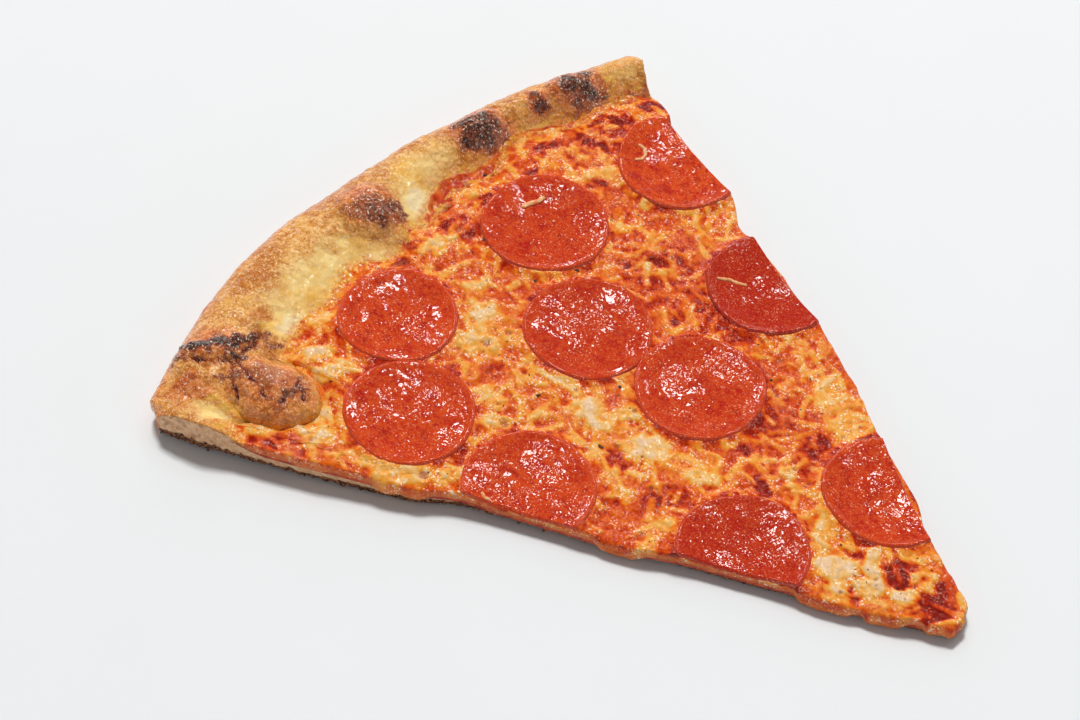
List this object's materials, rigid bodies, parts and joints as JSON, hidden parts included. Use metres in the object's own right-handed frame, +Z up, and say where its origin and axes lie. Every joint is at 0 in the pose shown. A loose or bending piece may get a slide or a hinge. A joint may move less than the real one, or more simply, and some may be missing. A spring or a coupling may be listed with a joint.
{
  "type": "pepperoni pizza slice",
  "caption": "Wedge-shaped slice of pizza with a puffy browned crust, tomato sauce, melted cheese and round pepperoni slices, lying flat.",
  "frame": {"origin": "middle of the slice's bounding box on the table, under the slice", "axes": "+X from the crust to the tip, +Y across the slice, +Z up"},
  "size_m": [0.2598, 0.2276, 0.0173],
  "materials": {
    "baked_dough": "baked crust, golden to brown, dry and finely blistered",
    "tomato_sauce": "wet tomato sauce",
    "melted_cheese": "melted cheese, oily, mottled orange and cream",
    "pepperoni": "cured sausage, oily, speckled"
  },
  "bodies": {
    "root": {"dough": "baked_dough", "tomato_sauce": "tomato_sauce", "cheese": "melted_cheese", "pepperoni_1": "pepperoni", "pepperoni_2": "pepperoni", "pepperoni_3": "pepperoni", "pepperoni_4": "pepperoni", "pepperoni_5": "pepperoni", "pepperoni_6": "pepperoni", "pepperoni_7": "pepperoni", "pepperoni_8": "pepperoni", "pepperoni_9": "pepperoni", "pepperoni_10": "pepperoni"}
  },
  "joints": []
}
